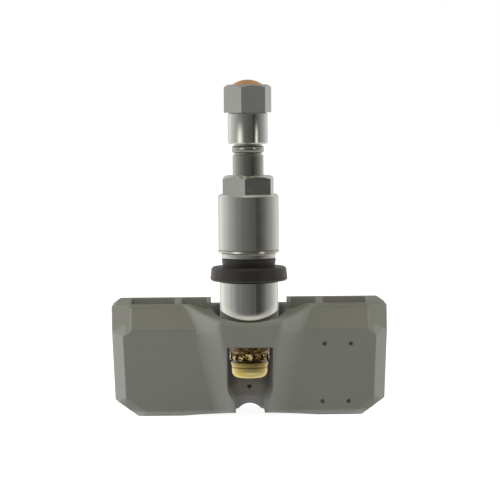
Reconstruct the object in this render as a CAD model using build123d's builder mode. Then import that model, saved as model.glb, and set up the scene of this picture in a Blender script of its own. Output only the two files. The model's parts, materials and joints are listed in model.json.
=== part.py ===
from build123d import *
import os
from math import atan2, cos, radians, sin, sqrt, tan

# Clamp-in tyre pressure sensor. Millimetres. Z is the stem's axis, the housing stands on z = 0,
# and the window over the retaining screw faces -Y.

# Housing outline, seen from the front
half_width = 33.35
side_draft = 2.4
housing_height = 28.2
foot_cut_width = 5.5
foot_cut_height = 4.1
crown_cut_width = 2.0
crown_cut_height = 1.3
arch_rise = 0.7
arch_half = 17.0

# Housing depths from the stem's axis
back_depth = 10.2
wing_depth = 6.5
boss_depth = 10.2

# Slopes and bevels of the wings
top_fall = 3.7
slope_drop = 7.25
slope_angle = 54.5
corner_line = 29.6
corner_fall = 26.0
bevel_width = 2.8
bevel_angle = 32.0
foot_bevel_width = 2.0
sill_height = 1.0
sill_depth = 0.9
mould_edge = 0.35
rim_edge = 1.1
pad_height = 0.2
pad_low = 0.25
pad_high = 1.95
pad_side = 45.0

# Centre boss, whose flanks sweep out into the wings
boss_foot_half = 3.9
boss_lean = 0.16
foot_spread = 1.1
shoulder_spread = 1.55
ridge_spread = 0.92
flank_sweep = 1.3
boss_corner = 0.9
boss_lift = 1.2
sweep_bite = 0.03

# Saddle behind the stem and dished rim in front of it
saddle_half = 9.6
saddle_depth = 1.45
rim_drop = 3.25
rim_radius = 40.0
rim_angle = 9.0
rim_start = 0.5

# Top pockets
pocket_depth = 3.2
pocket_front = 1.0
pocket_back_wall = 1.3
inner_pocket_start = 10.5
inner_pocket_length = 6.35
pocket_rib = 1.7
outer_pocket_length = 11.1
pocket_corner = 0.5

# Ball seat and stem foot
ball_height = 24.85
barrel_radius = 7.3
seat_clearance = 0.05
socket_radius = 9.0
socket_floor = 22.45
seat_wall = 1.25
tilt_back = 8.0
tilt_forward = 2.0

# Screw bay and its window
bay_half = 5.6
bay_front = 7.2
window_top = 17.35
throat_start = 8.05
throat_end = 3.85
throat_half = 3.6
notch_radius = 4.1
notch_rise = 1.8
port_height = 5.75
port_radius = 0.55

# Retaining screw and toothed washer
shank_radius = 2.4
shank_clearance = 0.25
shank_top = 28.75
head_top = 12.75
head_bottom = 8.85
head_radius = 4.65
head_round = 1.6
head_flange = 0.7
flange_step = 0.2
shoulder_radius = 3.4
screw_bore = 1.1
lobe_circle = 1.5
lobe_radius = 0.6
lobe_count = 6
recess_depth = 2.2
washer_foot = 13.35
washer_radius = 5.0
washer_fit = 0.1
tooth_count = 14
tooth_depth = 2.0
tooth_gap = 1.5
tooth_root = 3.6

# Small blind holes in the right wing
pin_hole_radius = 0.5
pin_hole_depth = 1.2
pin_hole_x = 18.0
pin_hole_pitch = 6.5
pin_hole_low = 3.4
pin_hole_rise = 14.35

# Chamber for the electronics, open at the back
chamber_front = 3.5
rim_wall = 1.5
ledge = 0.6
chamber_inner = 10.35
recess_top = 23.75
bridge_low = 3.85
bridge_high = 15.85
board_thickness = 0.8
board_clearance = 0.25
pour_thickness = 1.1
pour_recess = 0.3

# Stem above the foot
barrel_top = 33.25
land_radius = 5.0
land_top = 50.55
neck_radius = 3.85
groove_radius = 3.45
bead_low = 65.15
bead_height = 1.7
bead_radius = 3.95
bead_round = 0.4
groove_height = 0.45
neck_break = 0.3
stem_top = 78.55
edge_break = 0.4
air_bore = 1.5
fit_gap = 0.02

# Grommet, thrust washer and rim nut
grommet_height = 3.7
grommet_foot_radius = 9.65
grommet_top_radius = 9.4
grommet_crown = 0.3
grommet_neck_height = 2.0
grommet_neck_radius = 6.8
grommet_waist = 0.25
thrust_height = 1.8
thrust_radius = 6.7
thrust_lip = 0.35
thrust_cone = 0.55
thrust_overhang = 0.15
thrust_clearance = 0.15
collar_radius = 7.55
collar_height = 14.0
collar_chamfer = 0.4
nut_across_flats = 12.0
nut_hex_height = 4.7
nut_hex_turn = 22.6
hex_corner_angle = 30.0
nut_bore_clearance = 0.1
nut_counterbore = 5.5
nut_web = 6.4

# Valve cap
cap_gap = 0.05
cap_skirt_radius = 4.95
cap_skirt_height = 7.8
cap_shoulder = 0.35
cap_across_flats = 10.6
cap_hex_height = 6.95
cap_hex_turn = 14.5
cap_bore_clearance = 0.15
cap_gasket_height = 0.8
cap_gasket_hole = 1.6
dome_radius = 3.8
dome_height = 1.22
spigot_radius = 2.8
spigot_height = 0.7

# Valve core
core_bore = 2.6
core_bore_depth = 8.0
core_seat_bore = 2.2
core_chamber_depth = 19.0
plug_recess = 0.9
plug_height = 5.6
plug_bore = 1.0
plug_slot_width = 1.2
plug_slot_depth = 1.4
core_barrel_radius = 1.75
core_barrel_bore = 1.4
core_barrel_height = 7.0
core_barrel_floor = 0.6
core_gasket_drop = 1.6
core_gasket_height = 2.2
pin_radius = 0.45
pin_clearance = 0.1
pin_recess = 0.3
pin_head_radius = 0.75
pin_head_height = 0.5
pin_collar_radius = 1.15
pin_collar_height = 0.5
pin_collar_drop = 7.4
pin_foot_radius = 0.9
pin_foot_height = 0.4
cup_radius = 1.7
cup_height = 1.6
spring_wire = 0.14
spring_radius = 0.9
spring_turns = 4

# Coin cell and its tabs
cell_clearance = 0.15
cell_height = 3.2
cell_edge = 0.3
cell_standoff = 1.4
tab_thickness = 0.2
tab_width = 4.0
tab_margin = 1.0

# Parts on the board
sensor_size = 3.2
sensor_height = 1.3
sensor_clearance = 0.25
port_gasket_height = 0.5
port_gasket_radius = 1.4
chip_size = 7.0
chip_height = 1.3
chip_gap = 1.2
chip_rise = 16.0
crystal_length = 5.0
crystal_width = 3.2
crystal_height = 1.1
crystal_round = 0.5
crystal_rise = 18.0
switch_radius = 2.0
switch_length = 6.0
switch_gap = 1.2
switch_rise = 7.0
capacitor_length = 1.6
capacitor_width = 0.8
capacitor_height = 0.8
capacitor_pitch = 2.4
capacitor_count = 3
capacitor_rise = 13.5
antenna_width = 1.5
antenna_gauge = 0.5
antenna_span = 8.0
antenna_height = 6.0
antenna_gap = 1.5
antenna_rise = 6.0

# Heights and radii that follow from the sizes above
seat_radius = barrel_radius + seat_clearance
under_radius = seat_radius + seat_wall
washer_dish = under_radius + washer_fit
slope_foot = housing_height - slope_drop
saddle_height = housing_height - saddle_depth
pocket_floor = housing_height - pocket_depth
pour_face = back_depth - pour_recess - pour_thickness
board_face = pour_face - board_thickness
sensor_bay_depth = sensor_height + port_gasket_height
slot_half = shank_radius + shank_clearance
slot_front = slot_half + under_radius * sin(radians(tilt_back))
slot_back = slot_half + under_radius * sin(radians(tilt_forward))
screw_hole = shank_radius + fit_gap
grommet_top = barrel_top + grommet_height
neck_top = grommet_top + grommet_neck_height
collar_foot = neck_top + thrust_height
collar_top = collar_foot + collar_height
nut_top = collar_top + nut_hex_height
bead_top = bead_low + bead_height
cap_foot = bead_top + groove_height + cap_gap
cap_hex_foot = cap_foot + cap_skirt_height
cap_top = cap_hex_foot + cap_hex_height
cap_ceiling = stem_top + cap_gasket_height
plug_top = stem_top - plug_recess
plug_foot = plug_top - plug_height
core_barrel_foot = plug_foot - core_barrel_height
spring_foot = core_barrel_foot + core_barrel_floor
pin_top = stem_top - pin_recess
pin_collar_foot = pin_top - pin_collar_drop - pin_collar_height
cup_foot = core_barrel_foot - cup_height
cell_back = board_face - cell_standoff
chamber_floor = rim_wall + ledge
chamber_top = recess_top - ledge
chamber_outer = half_width - rim_wall - ledge
chamber_near = chamber_inner + ledge
chamber_middle = (chamber_near + chamber_outer) / 2
cell_radius = min(chamber_outer - chamber_near, chamber_top - chamber_floor) / 2 - cell_clearance
cell_x = -chamber_middle
cell_z = (chamber_floor + chamber_top) / 2
tab_reach = cell_radius - tab_margin / 2
tab_offset = cell_radius - tab_width / 2 - tab_margin / 2
chip_x = chamber_middle - chip_gap - chip_size / 2
crystal_x = chamber_middle + chip_gap + crystal_length / 2
switch_x = chamber_near + switch_gap + switch_radius
antenna_x = chamber_outer - antenna_gap - antenna_span / 2


def side_at(height):
    """Half width of the housing at a height."""
    return half_width + height * tan(radians(side_draft))


def mirrored(points):
    """A closed outline from its right half, listed from bottom to top."""
    return points + [(-x, z) for x, z in reversed(points)]


def facing_front(depth):
    """A sketch plane at a depth behind the stem's axis, X to the right, Z up, extruded to the front."""
    return Plane.XZ.offset(-depth)


def cut_plane(point, normal):
    """A plane through a point, whose normal points at what is cut away."""
    return Plane(origin=point, z_dir=normal)


def boss_section(height, shoulder_depth, spread):
    """Plan of the boss at a height: flat front, rounded corners and flanks that sweep out at a depth."""
    front_half = boss_foot_half + boss_lean * height
    flank_length = sqrt(1 + spread**2)
    along = (spread / flank_length, 1 / flank_length)
    corner = Vector(front_half, -boss_depth)
    knee = Vector(front_half + spread * (boss_depth - shoulder_depth), -shoulder_depth)
    corner_in = corner - Vector(boss_corner, 0)
    corner_out = corner + Vector(*along) * boss_corner
    sweep_in = knee - Vector(*along) * flank_sweep
    sweep_out = knee + Vector(flank_sweep, 0)
    with BuildSketch(Plane.XY.offset(height)) as section:
        with BuildLine() as half:
            Line((0, -boss_depth), corner_in)
            TangentArc(corner_in, corner_out, tangent=(1, 0))
            Line(corner_out, sweep_in)
            TangentArc(sweep_in, sweep_out, tangent=along)
            Polyline(sweep_out, (sweep_out.X, back_depth / 2), (0, back_depth / 2))
            mirror(about=Plane.YZ)
        make_face()
    return section.sketch


# The space round the screw's head: domed ceiling, window in front, throat below
with BuildPart() as screw_bay:
    with BuildSketch(facing_front(0)) as bay_profile:
        with BuildLine():
            Polyline((0, window_top), (bay_half, window_top), (bay_half, throat_start))
            TangentArc((bay_half, throat_start), (throat_half, throat_end), tangent=(0, -1))
            Polyline((throat_half, throat_end), (throat_half, -notch_radius), (0, -notch_radius),
                     (0, window_top))
        make_face()
    revolve(axis=Axis.Z)
    with BuildSketch(facing_front(0)):
        add(bay_profile.sketch)
        mirror(about=Plane.YZ)
    extrude(amount=2 * boss_depth)
    with BuildSketch(Plane.XY.offset(throat_start)):
        Circle(bay_half)
        with Locations((0, -bay_front / 2)):
            Rectangle(2 * bay_half, bay_front)
    extrude(amount=ball_height - throat_start)
    with Locations((0, 0, ball_height)):
        Sphere(under_radius, mode=Mode.SUBTRACT)

# Outline of the recess that takes the board and the pour, as seen from the front
with BuildSketch() as recess_plan:
    with BuildLine():
        Polyline(*mirrored([
            (half_width - foot_cut_width, 0),
            (side_at(foot_cut_height), foot_cut_height),
            (side_at(housing_height), housing_height),
        ]), close=True)
    make_face()
    offset(amount=-rim_wall)
    with Locations((0, recess_top)):
        Rectangle(4 * half_width, housing_height, align=(Align.CENTER, Align.MIN), mode=Mode.SUBTRACT)
    Rectangle(2 * chamber_inner, 2 * housing_height, mode=Mode.SUBTRACT)
    with Locations((0, bridge_low)):
        Rectangle(2 * chamber_inner, bridge_high - bridge_low, align=(Align.CENTER, Align.MIN))

# Outline of the two deep chambers in front of the board
with BuildSketch() as chamber_plan:
    add(recess_plan.sketch)
    offset(amount=-ledge, kind=Kind.INTERSECTION)
    Rectangle(2 * chamber_inner, 2 * housing_height, mode=Mode.SUBTRACT)

# Centre boss, carried up the wings' slope to the ridge, with a gently rising underside
with BuildPart() as boss:
    shoulder_depth = wing_depth - sweep_bite
    ridge_depth = shoulder_depth - slope_drop / tan(radians(slope_angle))
    foot_plan = boss_section(0, shoulder_depth, foot_spread)
    shoulder_plan = boss_section(slope_foot, shoulder_depth, shoulder_spread)
    ridge_plan = boss_section(housing_height, ridge_depth, ridge_spread)
    loft(sections=[foot_plan, shoulder_plan], ruled=True)
    loft(sections=[shoulder_plan, ridge_plan], ruled=True)
    split(bisect_by=cut_plane((0, 0, 0), (0, -boss_lift, -boss_depth)), keep=Keep.BOTTOM)

# One moulding: bevelled wings, boss, saddle, ball seat, screw bay, pockets and chambers
with BuildPart() as housing:
    with BuildSketch(facing_front(back_depth)):
        with BuildLine():
            Polyline(*mirrored([
                (half_width - foot_cut_width, 0),
                (side_at(foot_cut_height), foot_cut_height),
                (side_at(housing_height - crown_cut_height), housing_height - crown_cut_height),
                (side_at(housing_height) - crown_cut_width, housing_height),
            ]), close=True)
        make_face()
    extrude(amount=back_depth + wing_depth)
    # Top slope and front sill, then the corner facets and side bevels of both wings
    slope = radians(slope_angle)
    bevel = radians(bevel_angle)
    foot_lean = atan2(foot_cut_height, foot_cut_width)
    split(bisect_by=cut_plane((0, -wing_depth, slope_foot), (0, -sin(slope), cos(slope))), keep=Keep.BOTTOM)
    split(bisect_by=cut_plane((0, -wing_depth, sill_height), (0, -sill_height, -sill_depth)),
          keep=Keep.BOTTOM)
    for side in (1, -1):
        corner_point = (side * corner_line, -wing_depth, slope_foot)
        corner_normal = (side * tan(radians(corner_fall)), -tan(slope), 1)
        bevel_point = (side * (half_width - bevel_width), -wing_depth, 0)
        bevel_normal = (side * sin(bevel), -cos(bevel), -sin(bevel) * tan(radians(side_draft)))
        foot_point = (side * (half_width - foot_cut_width - foot_bevel_width * sin(foot_lean)),
                      -wing_depth, foot_bevel_width * cos(foot_lean))
        foot_normal = (side * sin(bevel) * sin(foot_lean), -cos(bevel), -sin(bevel) * cos(foot_lean))
        split(bisect_by=cut_plane(corner_point, corner_normal), keep=Keep.BOTTOM)
        split(bisect_by=cut_plane(bevel_point, bevel_normal), keep=Keep.BOTTOM)
        split(bisect_by=cut_plane(foot_point, foot_normal), keep=Keep.BOTTOM)
    fillet(housing.edges() - housing.faces().sort_by(Axis.Y)[-1].edges(), radius=mould_edge)
    # Raised pad on the slope of both wings
    slope_plane = Plane(origin=(0, -wing_depth, slope_foot), x_dir=(1, 0, 0),
                        z_dir=(0, -sin(slope), cos(slope)))
    pad_length = slope_drop / sin(slope) - pad_low - pad_high
    with BuildSketch(slope_plane):
        with Locations((0, pad_low)):
            Rectangle(2 * corner_line, pad_length, align=(Align.CENTER, Align.MIN))
    extrude(amount=pad_height, taper=pad_side)
    add(boss.part)
    fall = radians(top_fall)
    split(bisect_by=cut_plane((0, back_depth, housing_height), (0, -sin(fall), cos(fall))),
          keep=Keep.BOTTOM)
    # Dished rim in front of the stem and saddle behind it
    rim_lean = radians(rim_angle)
    with BuildSketch(facing_front(rim_start)):
        with Locations((0, housing_height - rim_drop + rim_radius)):
            Circle(rim_radius)
    extrude(amount=2 * boss_depth, dir=(0, -cos(rim_lean), -sin(rim_lean)), mode=Mode.SUBTRACT)
    rim_edges = housing.edges(Select.NEW).filter_by(lambda edge: edge.center().Y < -wing_depth / 2)
    fillet(rim_edges, radius=rim_edge)
    with BuildSketch(Plane.XY.offset(saddle_height)):
        with Locations((0, rim_start)):
            Rectangle(2 * saddle_half, 2 * back_depth, align=(Align.CENTER, Align.MIN))
    extrude(amount=housing_height, mode=Mode.SUBTRACT)
    # Socket with its ball seat, and the slot that lets the screw's shank tilt
    with BuildSketch(Plane.XY.offset(socket_floor)):
        Circle(socket_radius)
    extrude(amount=housing_height, mode=Mode.SUBTRACT)
    with Locations((0, 0, ball_height)):
        Sphere(seat_radius, mode=Mode.SUBTRACT)
    with BuildSketch(Plane.XY.offset(window_top / 2)):
        with Locations((0, (slot_back - slot_front) / 2)):
            SlotOverall(slot_front + slot_back, 2 * slot_half, rotation=90)
    extrude(amount=housing_height, mode=Mode.SUBTRACT)
    add(screw_bay.part, mode=Mode.SUBTRACT)
    # Shallow arch under the middle, then the rear notch and the pressure port
    arch_radius = (arch_half**2 + arch_rise**2) / (2 * arch_rise)
    with BuildSketch(facing_front(2 * back_depth)):
        with Locations((0, arch_rise - arch_radius)):
            Circle(arch_radius)
    extrude(amount=4 * back_depth, mode=Mode.SUBTRACT)
    with BuildSketch(facing_front(2 * back_depth)):
        with Locations((0, notch_rise - notch_radius)):
            Circle(notch_radius)
    extrude(amount=2 * back_depth, mode=Mode.SUBTRACT)
    with BuildSketch(facing_front(board_face)):
        with Locations((0, port_height)):
            Circle(port_radius)
    extrude(amount=board_face, mode=Mode.SUBTRACT)
    # Two pockets in the top of each wing
    with BuildSketch(Plane.XY.offset(pocket_floor)):
        for side in (1, -1):
            inner_middle = inner_pocket_start + inner_pocket_length / 2
            outer_middle = inner_pocket_start + inner_pocket_length + pocket_rib + outer_pocket_length / 2
            pocket_length = back_depth - pocket_back_wall + pocket_front
            with Locations((side * inner_middle, pocket_length / 2 - pocket_front)):
                RectangleRounded(inner_pocket_length, pocket_length, pocket_corner)
            with Locations((side * outer_middle, pocket_length / 2 - pocket_front)):
                RectangleRounded(outer_pocket_length, pocket_length, pocket_corner)
    extrude(amount=2 * pocket_depth, mode=Mode.SUBTRACT)
    # Chambers, board recess and the sensor's bay, all open at the back
    with BuildSketch(facing_front(back_depth)):
        add(chamber_plan.sketch)
    extrude(amount=back_depth + chamber_front, mode=Mode.SUBTRACT)
    with BuildSketch(facing_front(back_depth)):
        add(recess_plan.sketch)
    extrude(amount=back_depth - board_face, mode=Mode.SUBTRACT)
    with BuildSketch(facing_front(board_face)):
        with Locations((0, port_height)):
            Rectangle(sensor_size + 2 * sensor_clearance, sensor_size + 2 * sensor_clearance)
    extrude(amount=sensor_bay_depth, mode=Mode.SUBTRACT)
    # Small blind holes in the right wing, in columns that lean with its side
    hole_lean = pin_hole_rise * tan(radians(side_draft))
    with BuildSketch(facing_front(-wing_depth - pin_hole_depth)):
        with Locations(*[
            (pin_hole_x + column * pin_hole_pitch + row * hole_lean, pin_hole_low + row * pin_hole_rise)
            for column in (0, 1) for row in (0, 1)
        ]):
            Circle(pin_hole_radius)
    extrude(amount=-2 * pin_hole_depth, mode=Mode.SUBTRACT)

# Turned stem: ball foot, barrel, land for the grommet and nut, neck with a bead, core bore
with BuildPart() as valve_stem:
    with BuildSketch(facing_front(0)):
        with BuildLine():
            ball_edge = (screw_hole, ball_height - sqrt(barrel_radius**2 - screw_hole**2))
            barrel_edge = (barrel_radius, ball_height)
            bead_corners = [
                (bead_radius - bead_round, bead_top),
                (bead_radius, bead_top - bead_round),
                (bead_radius, bead_low + bead_round),
                (bead_radius - bead_round, bead_low),
            ]
            TangentArc(barrel_edge, ball_edge, tangent=(0, -1))
            Polyline(
                ball_edge,
                (screw_hole, shank_top + fit_gap),
                (air_bore, shank_top + fit_gap),
                (air_bore, stem_top - core_chamber_depth),
                (core_seat_bore, stem_top - core_chamber_depth),
                (core_seat_bore, stem_top - core_bore_depth),
                (core_bore, stem_top - core_bore_depth),
                (core_bore, stem_top),
                (neck_radius - edge_break, stem_top),
                (neck_radius, stem_top - edge_break),
                (neck_radius, bead_top + groove_height),
                (groove_radius, bead_top + groove_height),
                (groove_radius, bead_top),
                bead_corners[0],
            )
            TangentArc(bead_corners[0], bead_corners[1], tangent=(1, 0))
            Line(bead_corners[1], bead_corners[2])
            TangentArc(bead_corners[2], bead_corners[3], tangent=(0, -1))
            Polyline(
                bead_corners[3],
                (groove_radius, bead_low),
                (groove_radius, bead_low - groove_height),
                (neck_radius - neck_break, bead_low - groove_height),
                (neck_radius, bead_low - groove_height - neck_break),
                (neck_radius, land_top + edge_break),
                (land_radius - edge_break, land_top),
                (land_radius, land_top - edge_break),
                (land_radius, barrel_top),
                (barrel_radius - edge_break, barrel_top),
                (barrel_radius, barrel_top - edge_break),
                barrel_edge,
            )
        make_face()
    revolve(axis=Axis.Z)

# Rubber grommet: flange against the rim's inside, neck through the rim hole
with BuildPart() as sealing_grommet:
    with BuildSketch(facing_front(0)):
        with BuildLine():
            grommet_bore = land_radius + fit_gap
            Polyline(
                (grommet_neck_radius - edge_break, neck_top),
                (grommet_bore, neck_top),
                (grommet_bore, barrel_top),
                (grommet_foot_radius - edge_break, barrel_top),
                (grommet_foot_radius, barrel_top + edge_break),
                (grommet_top_radius, grommet_top - grommet_crown - edge_break),
                (grommet_top_radius - edge_break, grommet_top - grommet_crown),
                (grommet_neck_radius - grommet_waist, grommet_top),
                (grommet_neck_radius, neck_top - edge_break),
                (grommet_neck_radius - edge_break, neck_top),
            )
        make_face()
    revolve(axis=Axis.Z)

# Thin ring under the nut
with BuildPart() as thrust_washer:
    with BuildSketch(facing_front(0)):
        with BuildLine():
            thrust_bore = land_radius + thrust_clearance
            Polyline(
                (thrust_bore, neck_top),
                (thrust_radius, neck_top),
                (thrust_radius, collar_foot - thrust_lip - thrust_cone),
                (collar_radius + thrust_overhang, collar_foot - thrust_lip),
                (collar_radius + thrust_overhang, collar_foot),
                (thrust_bore, collar_foot),
                close=True,
            )
        make_face()
    revolve(axis=Axis.Z)

# Rim nut: long collar, then a hexagon with turned corners
with BuildPart() as rim_nut:
    with BuildSketch(Plane.XY.offset(collar_foot)):
        Circle(collar_radius)
    extrude(amount=collar_height)
    chamfer(rim_nut.edges().filter_by(GeomType.CIRCLE), length=collar_chamfer)
    with BuildSketch(Plane.XY.offset(collar_top)):
        RegularPolygon(nut_across_flats / 2, 6, major_radius=False, rotation=nut_hex_turn)
    extrude(amount=nut_hex_height)
    with BuildSketch(facing_front(0)):
        nut_cone = tan(radians(hex_corner_angle))
        with BuildLine():
            Polyline(
                (nut_across_flats / 2 - edge_break, nut_top),
                (nut_across_flats, nut_top),
                (nut_across_flats, nut_top - (nut_across_flats / 2 + edge_break) * nut_cone),
                close=True,
            )
        make_face()
    revolve(axis=Axis.Z, mode=Mode.SUBTRACT)
    with BuildSketch(Plane.XY.offset(collar_foot)):
        Circle(neck_radius + nut_bore_clearance)
    extrude(amount=nut_top, mode=Mode.SUBTRACT)
    with BuildSketch(Plane.XY.offset(collar_foot)):
        Circle(nut_counterbore)
    extrude(amount=nut_top - nut_web - collar_foot, mode=Mode.SUBTRACT)

# Valve cap: round skirt, then a hexagon with turned corners and a seat for the button
with BuildPart() as valve_cap:
    with BuildSketch(Plane.XY.offset(cap_foot)):
        Circle(cap_skirt_radius)
    extrude(amount=cap_skirt_height)
    chamfer(valve_cap.edges().filter_by(GeomType.CIRCLE), length=cap_shoulder)
    with BuildSketch(Plane.XY.offset(cap_hex_foot)):
        RegularPolygon(cap_across_flats / 2, 6, major_radius=False, rotation=cap_hex_turn)
    extrude(amount=cap_hex_height)
    with BuildSketch(facing_front(0)):
        cap_cone = tan(radians(hex_corner_angle))
        with BuildLine():
            Polyline(
                (cap_across_flats / 2 - edge_break, cap_top),
                (cap_across_flats, cap_top),
                (cap_across_flats, cap_top - (cap_across_flats / 2 + edge_break) * cap_cone),
                close=True,
            )
        make_face()
    revolve(axis=Axis.Z, mode=Mode.SUBTRACT)
    with BuildSketch(Plane.XY.offset(cap_foot)):
        Circle(neck_radius + cap_bore_clearance)
    extrude(amount=cap_ceiling - cap_foot, mode=Mode.SUBTRACT)
    with BuildSketch(Plane.XY.offset(cap_top - spigot_height)):
        Circle(spigot_radius + fit_gap)
    extrude(amount=spigot_height, mode=Mode.SUBTRACT)

# Copper-coloured button pressed into the cap
with BuildPart() as cap_dome:
    with BuildSketch(facing_front(0)):
        with BuildLine():
            Polyline(
                (0, cap_top + dome_height),
                (0, cap_top - spigot_height),
                (spigot_radius, cap_top - spigot_height),
                (spigot_radius, cap_top),
                (dome_radius, cap_top),
            )
            TangentArc((0, cap_top + dome_height), (dome_radius, cap_top), tangent=(1, 0))
        make_face()
    revolve(axis=Axis.Z)

# Seal between the cap and the stem's mouth
with BuildPart() as cap_gasket:
    with BuildSketch(Plane.XY.offset(stem_top)):
        Circle(neck_radius)
        Circle(cap_gasket_hole, mode=Mode.SUBTRACT)
    extrude(amount=cap_gasket_height)

# Pan-head screw with a six-lobe recess below and an air passage through it
with BuildPart() as retaining_screw:
    with BuildSketch(facing_front(0)):
        with BuildLine():
            Polyline(
                (screw_bore, head_bottom),
                (head_radius - flange_step - head_round, head_bottom),
            )
            TangentArc((head_radius - flange_step - head_round, head_bottom),
                       (head_radius - flange_step, head_bottom + head_round), tangent=(1, 0))
            Polyline(
                (head_radius - flange_step, head_bottom + head_round),
                (head_radius - flange_step, head_top - head_flange),
                (head_radius, head_top - head_flange),
                (head_radius, head_top),
                (shoulder_radius, head_top),
                (shoulder_radius, washer_foot),
                (shank_radius, washer_foot),
                (shank_radius, shank_top),
                (screw_bore, shank_top),
                (screw_bore, head_bottom),
            )
        make_face()
    revolve(axis=Axis.Z)
    with BuildSketch(Plane.XY.offset(head_bottom)):
        Circle(lobe_circle)
        with PolarLocations(lobe_circle, lobe_count):
            Circle(lobe_radius)
    extrude(amount=recess_depth, mode=Mode.SUBTRACT)

# Dished washer with teeth round its foot
with BuildPart() as serrated_washer:
    with BuildSketch(Plane.XY.offset(washer_foot)):
        Circle(washer_radius)
        Circle(screw_hole, mode=Mode.SUBTRACT)
    extrude(amount=ball_height - washer_foot)
    with Locations((0, 0, ball_height)):
        Sphere(washer_dish, mode=Mode.SUBTRACT)
    with BuildSketch(Plane.YZ.offset(tooth_root)) as tooth_profile:
        with BuildLine():
            Polyline((-tooth_gap / 2, washer_foot), (tooth_gap / 2, washer_foot),
                     (0, washer_foot + tooth_depth), close=True)
        make_face()
    tooth_cut = extrude(amount=washer_radius, mode=Mode.PRIVATE)
    with PolarLocations(0, tooth_count):
        add(tooth_cut, mode=Mode.SUBTRACT)

# Threaded head of the valve core, slotted for its tool
with BuildPart() as core_plug:
    with BuildSketch(Plane.XY.offset(plug_foot)):
        Circle(core_bore - fit_gap)
        Circle(plug_bore, mode=Mode.SUBTRACT)
    extrude(amount=plug_height)
    with BuildSketch(Plane.XY.offset(plug_top - plug_slot_depth)):
        Rectangle(2 * core_bore, plug_slot_width)
    extrude(amount=plug_slot_depth, mode=Mode.SUBTRACT)

# Body of the valve core with its lower shoulder
with BuildPart() as core_barrel:
    with BuildSketch(Plane.XY.offset(core_barrel_foot)):
        Circle(core_barrel_radius)
        Circle(pin_radius + pin_clearance, mode=Mode.SUBTRACT)
    extrude(amount=core_barrel_height)
    with BuildSketch(Plane.XY.offset(spring_foot)):
        Circle(core_barrel_bore)
    extrude(amount=core_barrel_height, mode=Mode.SUBTRACT)

# Seal round the core's body
with BuildPart() as core_gasket:
    with BuildSketch(Plane.XY.offset(plug_foot - core_gasket_drop - core_gasket_height)):
        Circle(core_seat_bore - fit_gap)
        Circle(core_barrel_radius + fit_gap, mode=Mode.SUBTRACT)
    extrude(amount=core_gasket_height)

# Pin that is pressed to let air through
with BuildPart() as core_pin:
    with BuildSketch(facing_front(0)):
        with BuildLine():
            Polyline(
                (0, pin_top),
                (pin_head_radius, pin_top),
                (pin_head_radius, pin_top - pin_head_height),
                (pin_radius, pin_top - pin_head_height),
                (pin_radius, pin_collar_foot + pin_collar_height),
                (pin_collar_radius, pin_collar_foot + pin_collar_height),
                (pin_collar_radius, pin_collar_foot),
                (pin_radius, pin_collar_foot),
                (pin_radius, cup_foot),
                (pin_foot_radius, cup_foot),
                (pin_foot_radius, cup_foot - pin_foot_height),
                (0, cup_foot - pin_foot_height),
                close=True,
            )
        make_face()
    revolve(axis=Axis.Z)

# Sealing cup on the pin's foot
with BuildPart() as core_cup:
    with BuildSketch(Plane.XY.offset(cup_foot)):
        Circle(cup_radius)
        Circle(pin_radius + fit_gap, mode=Mode.SUBTRACT)
    extrude(amount=cup_height)

# Spring between the core's lower shoulder and the pin's collar
with BuildPart() as core_spring:
    coil_height = pin_collar_foot - spring_foot - 2 * spring_wire
    with BuildLine():
        coil = Helix(pitch=coil_height / spring_turns, height=coil_height, radius=spring_radius,
                     center=(0, 0, spring_foot + spring_wire))
    with BuildSketch(Plane(origin=coil @ 0, z_dir=coil % 0)):
        Rectangle(2 * spring_wire, 2 * spring_wire)
    sweep(is_frenet=True)

# Circuit board on the ledge of the recess
with BuildPart() as circuit_board:
    with BuildSketch(facing_front(pour_face)):
        add(recess_plan.sketch)
        offset(amount=-board_clearance, kind=Kind.INTERSECTION)
    extrude(amount=board_thickness)

# Resin that closes the back
with BuildPart() as potting_fill:
    with BuildSketch(facing_front(pour_face + pour_thickness)):
        add(recess_plan.sketch)
    extrude(amount=pour_thickness)

# Coin cell in the left wing
with BuildPart() as battery_cell:
    with BuildSketch(facing_front(cell_back)):
        with Locations((cell_x, cell_z)):
            Circle(cell_radius)
    extrude(amount=cell_height)
    chamfer(battery_cell.edges().filter_by(GeomType.CIRCLE), length=cell_edge)

# Strip on the front of the cell, bent back to the board
with BuildPart() as battery_tab_front:
    with BuildSketch(facing_front(cell_back - cell_height)):
        with Locations((cell_x, cell_z - tab_offset)):
            Rectangle(tab_reach, tab_width, align=(Align.MIN, Align.CENTER))
    extrude(amount=tab_thickness)
    with BuildSketch(facing_front(board_face)):
        with Locations((cell_x + tab_reach, cell_z - tab_offset)):
            Rectangle(tab_thickness, tab_width, align=(Align.MIN, Align.CENTER))
    extrude(amount=board_face - cell_back + cell_height + tab_thickness)

# Strip on the back of the cell, bent on to the board
with BuildPart() as battery_tab_back:
    with BuildSketch(facing_front(cell_back + tab_thickness)):
        with Locations((cell_x, cell_z + tab_offset)):
            Rectangle(tab_reach, tab_width, align=(Align.MIN, Align.CENTER))
    extrude(amount=tab_thickness)
    with BuildSketch(facing_front(board_face)):
        with Locations((cell_x + tab_reach, cell_z + tab_offset)):
            Rectangle(tab_thickness, tab_width, align=(Align.MIN, Align.CENTER))
    extrude(amount=cell_standoff)

# Pressure sensor behind the port, with its seal
with BuildPart() as pressure_sensor:
    with BuildSketch(facing_front(board_face)):
        with Locations((0, port_height)):
            Rectangle(sensor_size, sensor_size)
    extrude(amount=sensor_height)

with BuildPart() as port_gasket:
    with BuildSketch(facing_front(board_face - sensor_height)):
        with Locations((0, port_height)):
            Circle(port_gasket_radius)
            Circle(port_radius, mode=Mode.SUBTRACT)
    extrude(amount=port_gasket_height)

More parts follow.
